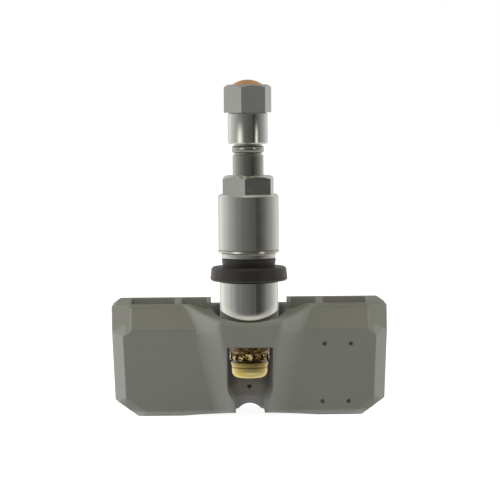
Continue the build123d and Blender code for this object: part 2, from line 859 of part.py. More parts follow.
# Transmitter, crystal, motion switch, capacitors and antenna in the right wing
with BuildPart() as transmitter_chip:
    with BuildSketch(facing_front(board_face)):
        with Locations((chip_x, chip_rise)):
            Rectangle(chip_size, chip_size)
    extrude(amount=chip_height)

with BuildPart() as crystal_can:
    with BuildSketch(facing_front(board_face)):
        with Locations((crystal_x, crystal_rise)):
            RectangleRounded(crystal_length, crystal_width, crystal_round)
    extrude(amount=crystal_height)

with BuildPart() as motion_switch:
    with BuildSketch(facing_front(board_face)):
        with Locations((switch_x, switch_rise)):
            Circle(switch_radius)
    extrude(amount=switch_length)

with BuildPart() as chip_capacitors:
    with BuildSketch(facing_front(board_face)):
        with Locations((crystal_x, capacitor_rise)):
            with GridLocations(capacitor_pitch, 0, capacitor_count, 1):
                Rectangle(capacitor_width, capacitor_length)
    extrude(amount=capacitor_height)

with BuildPart() as antenna_loop:
    with BuildSketch(Plane.XY.offset(antenna_rise)):
        with Locations((antenna_x, board_face)):
            Rectangle(antenna_span, antenna_height, align=(Align.CENTER, Align.MAX))
            Rectangle(antenna_span - 2 * antenna_gauge, antenna_height - antenna_gauge,
                      align=(Align.CENTER, Align.MAX), mode=Mode.SUBTRACT)
    extrude(amount=antenna_width)

os.makedirs("parts", exist_ok=True)
for name, built in {
    "housing": housing,
    "valve_stem": valve_stem,
    "sealing_grommet": sealing_grommet,
    "thrust_washer": thrust_washer,
    "rim_nut": rim_nut,
    "valve_cap": valve_cap,
    "cap_dome": cap_dome,
    "cap_gasket": cap_gasket,
    "retaining_screw": retaining_screw,
    "serrated_washer": serrated_washer,
    "core_plug": core_plug,
    "core_barrel": core_barrel,
    "core_gasket": core_gasket,
    "core_pin": core_pin,
    "core_cup": core_cup,
    "core_spring": core_spring,
    "circuit_board": circuit_board,
    "potting_fill": potting_fill,
    "battery_cell": battery_cell,
    "battery_tab_front": battery_tab_front,
    "battery_tab_back": battery_tab_back,
    "pressure_sensor": pressure_sensor,
    "port_gasket": port_gasket,
    "transmitter_chip": transmitter_chip,
    "crystal_can": crystal_can,
    "motion_switch": motion_switch,
    "chip_capacitors": chip_capacitors,
    "antenna_loop": antenna_loop,
}.items():
    built.part.label = name
    export_step(built.part, f"parts/{name}.step")
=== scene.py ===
"""Looks of a clamp-in tyre pressure sensor: finishes, the thread on its neck, a studio and the camera."""

import json
import math

import bpy
from mathutils import Matrix, Vector


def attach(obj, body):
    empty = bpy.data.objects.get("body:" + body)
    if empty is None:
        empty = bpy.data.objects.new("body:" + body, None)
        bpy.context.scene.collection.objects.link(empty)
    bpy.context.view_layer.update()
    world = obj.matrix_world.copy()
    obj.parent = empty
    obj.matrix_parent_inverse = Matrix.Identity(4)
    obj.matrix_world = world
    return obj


MM = 0.001
ORIGIN = (0.0, 0.0, 0.0)
WHITE = (1.0, 1.0, 1.0)

# Camera: distance from the stem's axis, turn about it, height, the point that it looks at, and roll
CAMERA_DISTANCE = 600 * MM
CAMERA_TURN = -0.7
CAMERA_HEIGHT = 84.25 * MM
CAMERA_AIM = Vector((0.32, 0.0, 40.8)) * MM
CAMERA_ROLL = -0.45
CAMERA_LENS = 173.2
CAMERA_SENSOR = 36.0

# Lamps: turn from the front and angle above the level, in degrees, then size, power and colour
LAMP_DISTANCE = 700 * MM
LAMPS = {
    "left_softbox": (-99.0, 6.0, 450 * MM, 16.0, (1.0, 1.0, 1.0)),
    "right_softbox": (99.0, 6.0, 450 * MM, 10.5, (1.0, 1.0, 0.98)),
    "top_softbox": (-10.0, 74.0, 420 * MM, 2.3, (1.0, 0.96, 0.56)),
    "front_softbox": (-4.0, 18.0, 420 * MM, 1.35, (1.0, 1.0, 1.0)),
}

# Even light from all round, then the floor: its grey and its light for the object, and what the camera
# sees, which is a darker grey that takes the shadow and a glow that is a little weaker near the object
ROOM_LIGHT = 0.2
FLOOR_SIZE = 6.0
FLOOR_TONE = 0.5
FLOOR_LIGHT = 0.42
FLOOR_SHADE = 0.25
FLOOR_GLOW = (0.90, 1.0)
FLOOR_GLOW_REACH = (60 * MM, 300 * MM)

# Bright paper on the floor in front, which only mirrors see: it fades over a reach from its centre, and
# distances across count for less, so it is wider than it is deep
PAPER_CENTRE = (0.0, -35 * MM, 0.0)
PAPER_REACH = (12 * MM, 48 * MM)
PAPER_SCALE = (0.45, 1.0, 1.0)
PAPER_GLOW = 0.72

# What bright metal mirrors: walls that are dark in front and white behind, with uneven panels and faint
# tints, a white floor below the horizon, a dim ceiling, and a softbox above the horizon at each side. Turns
# from the front and angles above the level are in degrees
ROOM_LEVELS = (
    (-180, 0.45), (-135, 1.0), (-105, 0.64), (-80, 0.49), (-45, 0.18), (5, 0.11),
    (30, 0.04), (50, 0.05), (85, 0.27), (140, 0.80), (180, 0.45),
)
PANEL_SCALE = 4.0
PANEL_SHARE = 0.4
PALE_PANELS = (0.5, 0.8)
PALE_PANEL_LEVEL = 0.35
DARK_PANELS = (0.25, 0.5)
DARK_PANEL_LEVEL = 0.02
ROOM_TINTS = (
    (-42.0, 16.0, (0.17, 0.20, 0.23)),
    (0.0, 14.0, (0.15, 0.125, 0.10)),
    (88.0, 16.0, (0.42, 0.36, 0.37)),
)
ROOM_TINT_SHARE = 0.25
ROOM_FLOOR = (0.78, 0.77, 0.72)
ROOM_FLOOR_LINE = (-24.0, -8.0)
ROOM_FLOOR_SHEEN = 0.6
ROOM_CEILING = (0.37, 0.37, 0.34)
ROOM_CEILING_LINE = (25.0, 60.0)
SOFTBOXES = ((-49.0, 15.0), (52.0, 7.0))
SOFTBOX_LINE = (3.5, 8.5)
SOFTBOX_TONE = (1.3, 1.3, 1.22)

# The moulding's two tones, and the places that its finish follows: edges, screw bay with its sides, foot,
# end bevels, rear walls of the top pockets, ball socket. There the finish holds painted light (lower bay,
# foot, end bevels, pockets' rear walls) and painted shade (upper bay, bay sides, socket). A stain or a
# painted light or shade here and below is a share and a tone
MOULDING_TONES = ((0.132, 0.134, 0.127), (0.150, 0.152, 0.143))
SPECK_STAIN = (0.3, (0.19, 0.19, 0.175))
EDGE_ROUND = 0.5 * MM
BAY_HALF = 5.7 * MM
BAY_DEPTHS = (-9.0 * MM, 6.0 * MM)
BAY_TOP = 17.4 * MM
BAY_RISE = (6.0 * MM, 12.0 * MM)
BAY_LOW_PAINTED_LIGHT = (0.24, 0.24, 0.24)
BAY_HIGH_PAINTED_SHADE = (0.7, (0.05, 0.05, 0.045))
BAY_SIDE = (2.2 * MM, 5.4 * MM)
BAY_SIDE_FADE = 0.6
BAY_SIDE_RISE = (3.0 * MM, 8.0 * MM)
BAY_SIDE_PAINTED_SHADE = (0.9, (0.02, 0.02, 0.018))
FOOT_RISE = (0.6 * MM, 1.7 * MM)
FOOT_PAINTED_LIGHT = (0.6, (0.32, 0.32, 0.31))
BEVEL_START = (30.7 * MM, 31.0 * MM)
BEVEL_DEPTHS = (-6.45 * MM, -4.75 * MM)
BEVEL_PAINTED_LIGHT = (0.6, (0.195, 0.195, 0.185))
POCKET_REACH = (10.4 * MM, 29.8 * MM)
POCKET_WALL = (8.8 * MM, 9.0 * MM)
POCKET_RISE = (24.9 * MM, 25.0 * MM)
POCKET_PAINTED_LIGHT = (0.6, (0.24, 0.24, 0.225))
SOCKET_CENTRE = (0.0, 0.0, 24.85 * MM)
SOCKET_REACH = (9.05 * MM, 9.2 * MM)
SOCKET_PAINTED_SHADE = (0.5, (0.04, 0.04, 0.032))

# Turning lines: noise round the stem's axis over an even feed, and how high they stand on the bright parts
LINE_SCALE = 60.0
LINE_NOISE = 0.8
LINE_FEED = 0.1
LINE_RELIEF = 0.0008 * MM

# The stem: barrel, neck, dark seat on the ball foot, which is a painted reflection of the shaded socket
# wall, rolled foot of the barrel and crown of the bead. The seat and the roll begin lower towards front and
# back, by their fall times the square of the depth
BARREL_TONES = ((0.80, 0.80, 0.74), (0.90, 0.90, 0.83))
NECK_TONES = ((0.44, 0.44, 0.39), (0.54, 0.54, 0.48))
NECK_RISE = (51.55 * MM, 53.55 * MM)
SEAT_PAINTED_REFLECTION = (0.085, 0.083, 0.062)
SEAT_RISE = (25.8 * MM, 26.1 * MM)
SEAT_FALL = 40.0
BARREL_FOOT = 28.6 * MM
BARREL_FOOT_FALL = 55.0
BARREL_ROLL = 60.0
BEAD_MIDDLE = 66.0 * MM
BEAD_HALF = 0.85 * MM
BEAD_CROWN = 480.0

# The nut, the thrust washer, whose lip leans, the cap, whose skirt flares a little, and its copper button
NUT_TONE = (0.78, 0.78, 0.72)
RING_TONES = ((0.72, 0.72, 0.67), (0.82, 0.82, 0.76))
RING_LIP = 40.38 * MM
RING_LEAN = 0.16
HEXAGON_TONES = ((0.58, 0.58, 0.55), (0.66, 0.66, 0.62))
SKIRT_TONES = ((0.70, 0.70, 0.65), (0.80, 0.80, 0.74))
SKIRT_TOP = 75.15 * MM
SKIRT_EDGE = (74.85 * MM, 75.25 * MM)
SKIRT_FLARE = 9.0
COPPER_TONES = ((0.88, 0.445, 0.185), (0.98, 0.585, 0.30))

# The screw's film, and painted shade in its groove, on its flange and in the gap above its head, and the
# toothed washer
SCREW_TONES = ((0.96, 0.68, 0.21), (0.84, 0.73, 0.32))
BLUSH_STAIN = (0.5, (0.98, 0.74, 0.50))
GROOVE_MIDDLE = 11.5 * MM
GROOVE_SPREAD = 0.25 * MM
GROOVE_PAINTED_SHADE = (0.75, (0.16, 0.10, 0.04))
FLANGE_RISE = (11.8 * MM, 12.3 * MM)
FLANGE_PAINTED_SHADE = (0.5, (0.30, 0.22, 0.09))
SCREW_GAP = (12.72 * MM, 13.4 * MM)
SCREW_GAP_PAINTED_SHADE = (0.9, (0.04, 0.025, 0.01))
TEETH_TONES = ((0.11, 0.062, 0.022), (0.95, 0.75, 0.36))
TEETH_SHADE = 0.85
TEETH_SHADE_RISE = (14.4 * MM, 16.0 * MM)

# The parts inside, the resin behind them, and rubber
BRASS_TONES = ((0.60, 0.42, 0.16), (0.78, 0.60, 0.28))
RESIN_TONES = ((0.018, 0.018, 0.019), (0.034, 0.033, 0.032))
BOARD_TONES = ((0.02, 0.13, 0.05), (0.05, 0.24, 0.09))
BOARD_RUN_SHARE = 0.6
CELL_TONE = (0.66, 0.66, 0.64)
STRIP_TONE = (0.60, 0.60, 0.58)
CAN_TONE = (0.56, 0.56, 0.55)
CHIP_TONE = (0.022, 0.022, 0.024)
CERAMIC_TONE = (0.40, 0.28, 0.16)
SEAL_TONE = (0.020, 0.020, 0.020)
GROMMET_TONE = (0.014, 0.012, 0.011)

# The thread on the neck under the cap: its ridge is sunk a little in the neck, with a gap between turns,
# and its shading is smooth across edges up to an angle in degrees
NECK_RADIUS = 3.85 * MM
THREAD_LOW = 67.7 * MM
THREAD_HIGH = 77.85 * MM
THREAD_PITCH = 0.794 * MM
THREAD_DEPTH = 0.11 * MM
THREAD_SINK = 0.02 * MM
THREAD_GAP = 0.01 * MM
THREAD_STEPS = 48
MERGE_DISTANCE = 0.001 * MM
SMOOTH_ANGLE = 20.0


class Value:
    """A node's output, whose arithmetic adds Math nodes to its tree."""

    def __init__(self, graph, socket):
        self.graph = graph
        self.socket = socket

    def __add__(self, other):
        return self.graph.math("ADD", self, other)

    def __sub__(self, other):
        return self.graph.math("SUBTRACT", self, other)

    def __rsub__(self, other):
        return self.graph.math("SUBTRACT", other, self)

    def __mul__(self, other):
        return self.graph.math("MULTIPLY", self, other)

    def __truediv__(self, other):
        return self.graph.math("DIVIDE", self, other)

    __radd__ = __add__
    __rmul__ = __mul__


class Graph:
    """The nodes of a material or of the world."""

    def __init__(self, owner):
        owner.use_nodes = True
        self.tree = owner.node_tree

    def plug(self, socket, value):
        """Links a value to a socket, or sets the socket to a constant, where a colour is three numbers."""
        if isinstance(value, Value):
            self.tree.links.new(value.socket, socket)
        elif socket.type == "RGBA":
            socket.default_value = opaque(value)
        else:
            socket.default_value = value

    def node(self, kind, settings=None, sockets=None, output=0):
        """Adds a node, with its settings first and then its sockets, and returns one of its outputs."""
        made = self.tree.nodes.new(kind)
        for name, setting in (settings or {}).items():
            if name == "stops":
                self.set_stops(made.color_ramp.elements, setting)
            else:
                setattr(made, name, setting)
        for name, value in (sockets or {}).items():
            self.plug(made.inputs[name], value)
        return Value(self, made.outputs[output]) if made.outputs else None

    def set_stops(self, elements, stops):
        """Gives a ramp its grey levels at places between 0 and 1."""
        elements.remove(elements[-1])
        elements[0].position = stops[0][0]
        elements[0].color = opaque(grey(stops[0][1]))
        for place, level in stops[1:]:
            elements.new(place).color = opaque(grey(level))

    def math(self, operation, *terms):
        """Adds a Math node."""
        return self.node("ShaderNodeMath", {"operation": operation}, dict(enumerate(terms)))

    def place(self):
        """The point on the surface, in the shared frame."""
        return self.node("ShaderNodeTexCoord", output="Object")

    def axes(self, vector):
        """The three numbers of a vector."""
        split = self.node("ShaderNodeSeparateXYZ", sockets={0: vector}).socket.node
        return [Value(self, output) for output in split.outputs]

    def stretched(self, vector, scale):
        """A vector with its axes scaled."""
        return self.node("ShaderNodeVectorMath", {"operation": "MULTIPLY"}, {0: vector, 1: scale})

    def distance(self, vector, centre):
        """How far a point is from a centre."""
        return self.node("ShaderNodeVectorMath", {"operation": "DISTANCE"}, {0: vector, 1: centre},
                         output="Value")

    def noise(self, vector, scale, detail):
        """Smooth noise about 0.5."""
        return self.node("ShaderNodeTexNoise", sockets={"Vector": vector, "Scale": scale, "Detail": detail})

    def smooth(self, value, low, high):
        """Rises smoothly from 0 at low to 1 at high."""
        return self.node("ShaderNodeMapRange", {"interpolation_type": "SMOOTHSTEP"},
                         {"Value": value, "From Min": low, "From Max": high})

    def bell(self, value, middle, spread):
        """Falls smoothly from 1 in the middle to almost 0 at twice the spread."""
        off = (value - middle) / spread
        return self.math("EXPONENT", off * off * -1.0)

    def within(self, value, low, high):
        """1 between two values and 0 elsewhere."""
        return self.math("COMPARE", value, (low + high) / 2, (high - low) / 2)

    def above_zero(self, value):
        """A value, or 0 where it is negative."""
        return self.math("MAXIMUM", value, 0.0)

    def mix(self, share, first, second):
        """A colour between two colours."""
        return self.node("ShaderNodeMix", {"data_type": "RGBA"}, {0: share, 6: first, 7: second}, output=2)

    def stained(self, base, mask, stain):
        """A colour with a stain over it where a mask is 1."""
        share, tone = stain
        return self.mix(mask * share, base, tone)

    def mix_shaders(self, share, first, second):
        """A shader between two shaders."""
        return self.node("ShaderNodeMixShader", sockets={0: share, 1: first, 2: second})

    def bump(self, height, distance, strength=1.0, **base):
        """A normal that follows a height, where a height of 1 stands for that distance in metres."""
        return self.node("ShaderNodeBump",
                         sockets={"Height": height, "Distance": distance, "Strength": strength, **base})

    def rays(self):
        """1 for a ray from the camera, straight or through glass, and 1 for a ray from a mirror."""
        path = self.node("ShaderNodeLightPath").socket.node
        kinds = ("Is Camera Ray", "Is Transmission Ray", "Is Glossy Ray")
        camera, through, mirror = [Value(self, path.outputs[kind]) for kind in kinds]
        return camera + through, mirror


class Finish(Graph):
    """One material: constants are set on its shader, and what varies is plugged in."""

    def __init__(self, name, **constants):
        self.material = bpy.data.materials.new(name)
        super().__init__(self.material)
        self.shader = self.tree.nodes["Principled BSDF"]
        self.wear(**constants)

    def wear(self, **sockets):
        """Sets or links the shader's sockets, named in lower case with underscores."""
        for name, value in sockets.items():
            title = name.replace("_", " ").title().replace("Ior", "IOR")
            self.plug(self.shader.inputs[title], value)


def opaque(tone):
    return (*tone, 1.0)


def grey(level):
    return (level, level, level)


def shades(tone, *shares):
    """A tone made darker or lighter by each share."""
    return [tuple(min(1.0, channel * share) for channel in tone) for share in shares]


def ring_lines(finish, lines_per_mm, relief):
    """Fine turning lines round the stem's axis, as a bump."""
    place = finish.place()
    lines = lines_per_mm / MM
    uneven = finish.noise(finish.stretched(place, (LINE_SCALE, LINE_SCALE, lines)), scale=1.0, detail=3.0)
    feed = finish.math("SINE", finish.axes(place)[2] * (2 * math.pi * lines))
    return finish.bump(uneven * LINE_NOISE + feed * LINE_FEED, relief)


def turning_marks(finish, scales):
    """Noise drawn out round the stem's axis."""
    return finish.noise(finish.stretched(finish.place(), scales), scale=1.0, detail=3.0)


def moulding_finish():
    """Matt grey moulding with a fine eroded texture, faint flow clouds, and painted light and shade in
    certain places.
    """
    finish = Finish("grey_moulding", specular_ior_level=0.35)
    place = finish.place()
    clouds = finish.noise(place, scale=70.0, detail=3.0)
    grain = finish.noise(place, scale=5200.0, detail=2.0)
    specks = finish.smooth(finish.noise(place, scale=2300.0, detail=1.0), low=0.62, high=0.74)
    tone = finish.stained(finish.mix(clouds, *MOULDING_TONES), specks, SPECK_STAIN)
    across, along, up = finish.axes(place)
    aside = finish.math("ABSOLUTE", across)
    bay = finish.within(aside, -BAY_HALF, BAY_HALF) * finish.within(along, *BAY_DEPTHS)
    bay = bay * finish.within(up, -BAY_TOP, BAY_TOP)
    high = finish.smooth(up, *BAY_RISE)
    beside = finish.smooth(aside, *BAY_SIDE)
    # Painted light: the lower screw bay is lighter, less so towards its sides
    tone = finish.mix(bay * (1 - high) * (1 - BAY_SIDE_FADE * beside), tone, BAY_LOW_PAINTED_LIGHT)
    # Painted shade: the upper screw bay is darker
    tone = finish.stained(tone, bay * high, BAY_HIGH_PAINTED_SHADE)
    # Painted shade: the bay's side walls are darker higher up
    tone = finish.stained(tone, bay * beside * finish.smooth(up, *BAY_SIDE_RISE), BAY_SIDE_PAINTED_SHADE)
    # Painted light from the floor: lighter along the foot
    tone = finish.stained(tone, 1 - finish.smooth(up, *FOOT_RISE), FOOT_PAINTED_LIGHT)
    # Painted light: the end bevels are lighter, as if lit from the side
    bevel = finish.smooth(aside, *BEVEL_START) * finish.within(along, *BEVEL_DEPTHS)
    tone = finish.stained(tone, bevel, BEVEL_PAINTED_LIGHT)
    # Painted light: the rear walls of the top pockets are lighter
    pocket = finish.within(aside, *POCKET_REACH) * finish.within(along, *POCKET_WALL)
    tone = finish.stained(tone, pocket * finish.smooth(up, *POCKET_RISE), POCKET_PAINTED_LIGHT)
    # Painted shade: darker in the ball socket round the stem's foot
    reach = finish.distance(place, SOCKET_CENTRE)
    tone = finish.stained(tone, 1 - finish.smooth(reach, *SOCKET_REACH), SOCKET_PAINTED_SHADE)
    rounded = finish.node("ShaderNodeBevel", {"samples": 4}, {"Radius": EDGE_ROUND})
    finish.wear(base_color=tone, roughness=0.56 + 0.16 * grain,
                normal=finish.bump(grain, distance=0.05 * MM, strength=0.35, Normal=rounded))
    return finish.material


def nut_finish():
    """Bright turned aluminium with lines round the axis, stains and small marks."""
    finish = Finish("nut_alloy", metallic=1.0)
    stains = finish.noise(finish.place(), scale=190.0, detail=4.0)
    marks = turning_marks(finish, scales=(400.0, 400.0, 5200.0))
    finish.wear(base_color=finish.mix(stains, *shades(NUT_TONE, 0.93, 1.05)),
                roughness=0.12 + 0.10 * marks + 0.05 * stains,
                normal=ring_lines(finish, lines_per_mm=7.0, relief=LINE_RELIEF))
    return finish.material


def stem_finish():
    """Turned aluminium, duller on the neck than on the barrel, with a painted reflection of the shaded
    socket wall on the seat of its ball foot.
    """
    finish = Finish("stem_alloy", metallic=1.0)
    place = finish.place()
    depth, rise = finish.axes(place)[1:]
    stains = finish.noise(place, scale=190.0, detail=4.0)
    marks = turning_marks(finish, scales=(400.0, 400.0, 5200.0))
    neck = finish.smooth(rise, *NECK_RISE)
    inward = depth * depth
    # Painted reflection: the seat is dark where the barrel would mirror the shaded socket wall
    painted_seat = 1 - finish.smooth(rise + SEAT_FALL * inward, *SEAT_RISE)
    tone = finish.mix(neck, finish.mix(stains, *BARREL_TONES), finish.mix(stains, *NECK_TONES))
    off = rise - BEAD_MIDDLE
    fall = finish.math("MINIMUM", off * off, BEAD_HALF ** 2)
    below = finish.above_zero(BARREL_FOOT - rise - BARREL_FOOT_FALL * inward)
    shaped = finish.bump(fall * -BEAD_CROWN - below * below * BARREL_ROLL, distance=1.0,
                         Normal=ring_lines(finish, lines_per_mm=9.0, relief=LINE_RELIEF))
    finish.wear(base_color=finish.mix(painted_seat, tone, SEAT_PAINTED_REFLECTION),
                roughness=0.11 + 0.08 * marks + 0.05 * neck + 0.2 * painted_seat, normal=shaped)
    return finish.material


def cap_finish():
    """Dull hexagon over a bright skirt, which flares a little and mirrors the softboxes near its foot."""
    finish = Finish("cap_alloy", metallic=1.0)
    place = finish.place()
    rise = finish.axes(place)[2]
    stains = finish.noise(place, scale=210.0, detail=4.0)
    marks = turning_marks(finish, scales=(600.0, 600.0, 4200.0))
    skirt = 1 - finish.smooth(rise, *SKIRT_EDGE)
    below = finish.above_zero(SKIRT_TOP - rise)
    tone = finish.mix(skirt, finish.mix(stains, *HEXAGON_TONES), finish.mix(stains, *SKIRT_TONES))
    finish.wear(base_color=tone, roughness=0.42 + 0.08 * marks - 0.31 * skirt,
                normal=finish.bump(below * below * SKIRT_FLARE, distance=1.0))
    return finish.material


def ring_finish():
    """Bright turned ring, whose lip leans back a little."""
    finish = Finish("ring_alloy", metallic=1.0)
    place = finish.place()
    stains = finish.noise(place, scale=190.0, detail=4.0)
    above = finish.above_zero(finish.axes(place)[2] - RING_LIP)
    leaning = finish.bump(above * -RING_LEAN, distance=1.0,
                          Normal=ring_lines(finish, lines_per_mm=7.0, relief=LINE_RELIEF))
    finish.wear(base_color=finish.mix(stains, *RING_TONES), roughness=0.16 + 0.08 * stains, normal=leaning)
    return finish.material


def copper_finish():
    """Copper-coloured button with faint marks."""
    finish = Finish("copper_button", metallic=1.0)
    place = finish.place()
    clouds = finish.noise(place, scale=420.0, detail=3.0)
    marks = finish.noise(place, scale=3800.0, detail=2.0)
    finish.wear(base_color=finish.mix(clouds, *COPPER_TONES), roughness=0.34 + 0.14 * marks,
                normal=finish.bump(marks, distance=0.02 * MM, strength=0.4))
    return finish.material


def screw_finish():
    """Yellow passivated steel, whose film wanders between gold, olive and pink, with rings of painted shade
    in its groove, on its flange and in the gap above its head.
    """
    finish = Finish("gold_screw", metallic=1.0)
    place = finish.place()
    rise = finish.axes(place)[2]
    film = finish.smooth(finish.noise(place, scale=330.0, detail=2.0), low=0.35, high=0.68)
    flattened = finish.stretched(place, (1.0, 1.0, 2.2))
    blush = finish.smooth(finish.noise(flattened, scale=520.0, detail=2.0), low=0.58, high=0.78)
    grain = finish.noise(place, scale=3600.0, detail=2.0)
    tone = finish.stained(finish.mix(film, *SCREW_TONES), blush, BLUSH_STAIN)
    # Painted shade: a dark ring in the groove under the flange
    tone = finish.stained(tone, finish.bell(rise, GROOVE_MIDDLE, GROOVE_SPREAD), GROOVE_PAINTED_SHADE)
    # Painted shade: the flange is darker
    tone = finish.stained(tone, finish.smooth(rise, *FLANGE_RISE), FLANGE_PAINTED_SHADE)
    # Painted shade: near black in the gap between the head and the washer
    tone = finish.stained(tone, finish.within(rise, *SCREW_GAP), SCREW_GAP_PAINTED_SHADE)
    finish.wear(base_color=tone, roughness=0.18 + 0.10 * grain,
                normal=finish.bump(grain, distance=0.003 * MM))
    return finish.material


def teeth_finish():
    """Yellow passivated washer, crumpled where its teeth are pressed: dark brown with bright glints."""
    finish = Finish("gold_washer", metallic=1.0)
    place = finish.place()
    folds = finish.noise(finish.stretched(place, (1.0, 1.0, 1.7)), scale=760.0, detail=1.0)
    flakes = finish.noise(finish.stretched(place, (1.0, 1.0, 1.9)), scale=640.0, detail=2.0)
    shade = TEETH_SHADE * finish.smooth(finish.axes(place)[2], *TEETH_SHADE_RISE)
    film = finish.smooth(flakes, low=0.47, high=0.62) * (1 - shade)
    finish.wear(base_color=finish.mix(film, *TEETH_TONES), roughness=0.16 + 0.08 * film,
                normal=finish.bump(folds, distance=1.6 * MM))
    return finish.material


def rubber_finish(name, tone, roughness):
    """Black rubber with a dusty bloom and a fine skin."""
    finish = Finish(name, specular_ior_level=0.4)
    place = finish.place()
    bloom = finish.noise(place, scale=260.0, detail=4.0)
    skin = finish.noise(place, scale=3000.0, detail=2.0)
    finish.wear(base_color=finish.mix(bloom, *shades(tone, 0.8, 1.4)), roughness=roughness + 0.14 * bloom,
                normal=finish.bump(skin, distance=0.03 * MM, strength=0.5))
    return finish.material


def brass_finish():
    """Turned brass of the valve core."""
    finish = Finish("core_brass", metallic=1.0)
    stains = finish.noise(finish.place(), scale=500.0, detail=3.0)
    finish.wear(base_color=finish.mix(stains, *BRASS_TONES), roughness=0.24 + 0.16 * stains,
                normal=ring_lines(finish, lines_per_mm=12.0, relief=0.003 * MM))
    return finish.material


def strip_finish(name, tone):
    """Plated strip or can with rolling marks."""
    finish = Finish(name, metallic=1.0)
    rolled = finish.noise(finish.stretched(finish.place(), (3000.0, 3000.0, 300.0)), scale=1.0, detail=3.0)
    finish.wear(base_color=finish.mix(rolled, *shades(tone, 0.88, 1.08)), roughness=0.26 + 0.14 * rolled,
                normal=finish.bump(rolled, distance=0.01 * MM, strength=0.5))
    return finish.material


def resin_finish():
    """Poured dark resin, glossy, with slow ripples."""
    finish = Finish("resin", coat_weight=0.3)
    place = finish.place()
    ripple = finish.noise(place, scale=95.0, detail=2.0)
    dust = finish.noise(place, scale=1900.0, detail=3.0)
    finish.wear(base_color=finish.mix(ripple, *RESIN_TONES), roughness=0.20 + 0.18 * dust,
                normal=finish.bump(ripple, distance=0.5 * MM, strength=0.35))
    return finish.material


def board_finish():
    """Green solder mask over faint copper runs."""
    finish = Finish("board", specular_ior_level=0.5)
    place = finish.place()
    drawn_out = finish.stretched(place, (1.0, 1.0, 0.25))
    runs = finish.smooth(finish.noise(drawn_out, scale=700.0, detail=0.0), low=0.52, high=0.56)
    weave = finish.noise(place, scale=2600.0, detail=2.0)
    finish.wear(base_color=finish.mix(runs * BOARD_RUN_SHARE, *BOARD_TONES), roughness=0.30 + 0.2 * weave,
                normal=finish.bump(runs, distance=0.03 * MM, strength=0.6))
    return finish.material


def package_finish(name, tone, roughness):
    """Moulded or fired package of a small part on the board."""
    finish = Finish(name, specular_ior_level=0.4)
    grain = finish.noise(finish.place(), scale=4200.0, detail=3.0)
    finish.wear(base_color=finish.mix(grain, *shades(tone, 0.8, 1.25)), roughness=roughness + 0.16 * grain,
                normal=finish.bump(grain, distance=0.02 * MM, strength=0.5))
    return finish.material


def finishes():
    """The material of every slot of the record."""
    return {
        "grey_moulding": moulding_finish(),
        "resin": resin_finish(),
        "board": board_finish(),
        "cell_steel": strip_finish("cell_steel", CELL_TONE),
        "strip_steel": strip_finish("strip_steel", STRIP_TONE),
        "chip_black": package_finish("chip_black", CHIP_TONE, roughness=0.5),
        "chip_tan": package_finish("chip_tan", CERAMIC_TONE, roughness=0.45),
        "can_steel": strip_finish("can_steel", CAN_TONE),
        "seal_rubber": rubber_finish("seal_rubber", SEAL_TONE, roughness=0.6),
        "stem_alloy": stem_finish(),
        "grommet_rubber": rubber_finish("grommet_rubber", GROMMET_TONE, roughness=0.28),
        "ring_alloy": ring_finish(),
        "nut_alloy": nut_finish(),
        "cap_alloy": cap_finish(),
        "copper_button": copper_finish(),
        "gold_screw": screw_finish(),
        "gold_washer": teeth_finish(),
        "core_brass": brass_finish(),
    }


def dress_nodes(frame, materials):
    """Gives every solid the finish of its slot, and keeps metal from mirroring the housing's body."""
    for row in frame["record"]["subparts"]:
        node = frame["nodes"][row["node"]]
        node.data.materials.clear()
        node.data.materials.append(materials[row["material_slot"]])
        node.visible_glossy = row["node"] not in frame["record"]["behaviour"]["bodies"]["housing"]


def from_axis(turn, lift, distance):
    """A point at a turn from the front, to the right, and a lift above the level, in degrees."""
    turn = math.radians(turn)
    lift = math.radians(lift)
    level = distance * math.cos(lift)
    return Vector((level * math.sin(turn), -level * math.cos(turn), distance * math.sin(lift)))


def aimed(place, target, roll=0.0):
    """A world matrix at a place, looking at a target."""
    turn = (target - place).to_track_quat("-Z", "Y").to_matrix().to_4x4()
    return Matrix.Translation(place) @ turn @ Matrix.Rotation(math.radians(roll), 4, "Z")


def add_camera():
    """The camera at the photograph's view."""
    lens = bpy.data.cameras.new("camera")
    lens.lens = CAMERA_LENS
    lens.sensor_width = CAMERA_SENSOR
    camera = bpy.data.objects.new("camera", lens)
    bpy.context.scene.collection.objects.link(camera)
    place = from_axis(CAMERA_TURN, 0.0, CAMERA_DISTANCE) + Vector((0, 0, CAMERA_HEIGHT))
    camera.matrix_world = aimed(place, CAMERA_AIM, CAMERA_ROLL)
    bpy.context.scene.camera = camera


def add_lamps():
    """Softboxes round the object, which light it but aren't mirrored by it."""
    for name, (turn, lift, size, power, tint) in LAMPS.items():
        light = bpy.data.lights.new(name, "AREA")
        light.size = size
        light.energy = power
        light.color = tint
        lamp = bpy.data.objects.new(name, light)
        lamp.matrix_world = aimed(CAMERA_AIM + from_axis(turn, lift, LAMP_DISTANCE), CAMERA_AIM)
        lamp.visible_glossy = False
        bpy.context.scene.collection.objects.link(lamp)


def lifted(room, up, line):
    """Rises from 0 at the first angle above the level to 1 at the second."""
    low, high = [math.sin(math.radians(angle)) for angle in line]
    return room.smooth(up, low, high)


def towards(room, turn, middle, spread):
    """1 in the direction of a turn from the front, and almost 0 at twice the spread from it."""
    return room.bell(turn, math.radians(middle), math.radians(spread))


